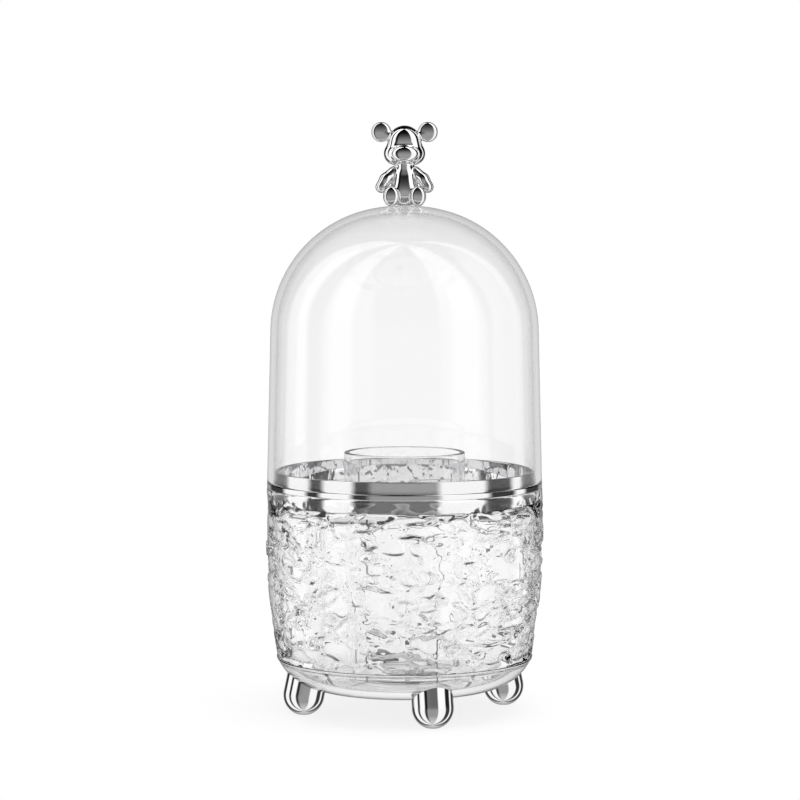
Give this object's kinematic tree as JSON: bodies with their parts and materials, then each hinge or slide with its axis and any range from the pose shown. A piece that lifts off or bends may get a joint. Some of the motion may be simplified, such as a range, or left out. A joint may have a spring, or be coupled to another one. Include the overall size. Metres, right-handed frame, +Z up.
{
  "type": "lidded cosmetics organizer",
  "caption": "Round clear tub with a glacier relief, divided inside round a centre cup, on ball feet, under a lift-off dome with a bear handle.",
  "frame": {"origin": "on the table under the organizer's upright axis, at the bottom centre of its box", "axes": "+Z up along the dome's and bucket's axis; -Y towards the front, where one foot stands; +X to the right; at rest the bear on the lift-off dome looks 15 degrees to the left of -Y"},
  "size_m": [0.12, 0.12, 0.254],
  "materials": {
    "clear_plastic": "clear polystyrene moulding, glossy, with a glacier relief outside",
    "insert_plastic": "clear polystyrene moulding, polished",
    "dome_plastic": "clear thin-walled moulding, polished",
    "bright_plating": "mirror-bright chrome plating on moulded plastic"
  },
  "bodies": {
    "base": {"bucket": "clear_plastic", "foot_front": "bright_plating", "foot_right": "bright_plating", "foot_back": "bright_plating", "foot_left": "bright_plating", "collar_ring": "bright_plating"},
    "insert": {"divider_insert": "insert_plastic"},
    "lid": {"dome_cover": "dome_plastic", "bear_finial": "bright_plating"}
  },
  "joints": [
    {"name": "lid_lift", "type": "slide", "parent": "base", "child": "lid", "axis": [0, 0, 1], "range_m": [0, 0.13]},
    {"name": "insert_lift", "type": "slide", "parent": "base", "child": "insert", "axis": [0, 0, 1], "range_m": [0, 0.0915]}
  ]
}
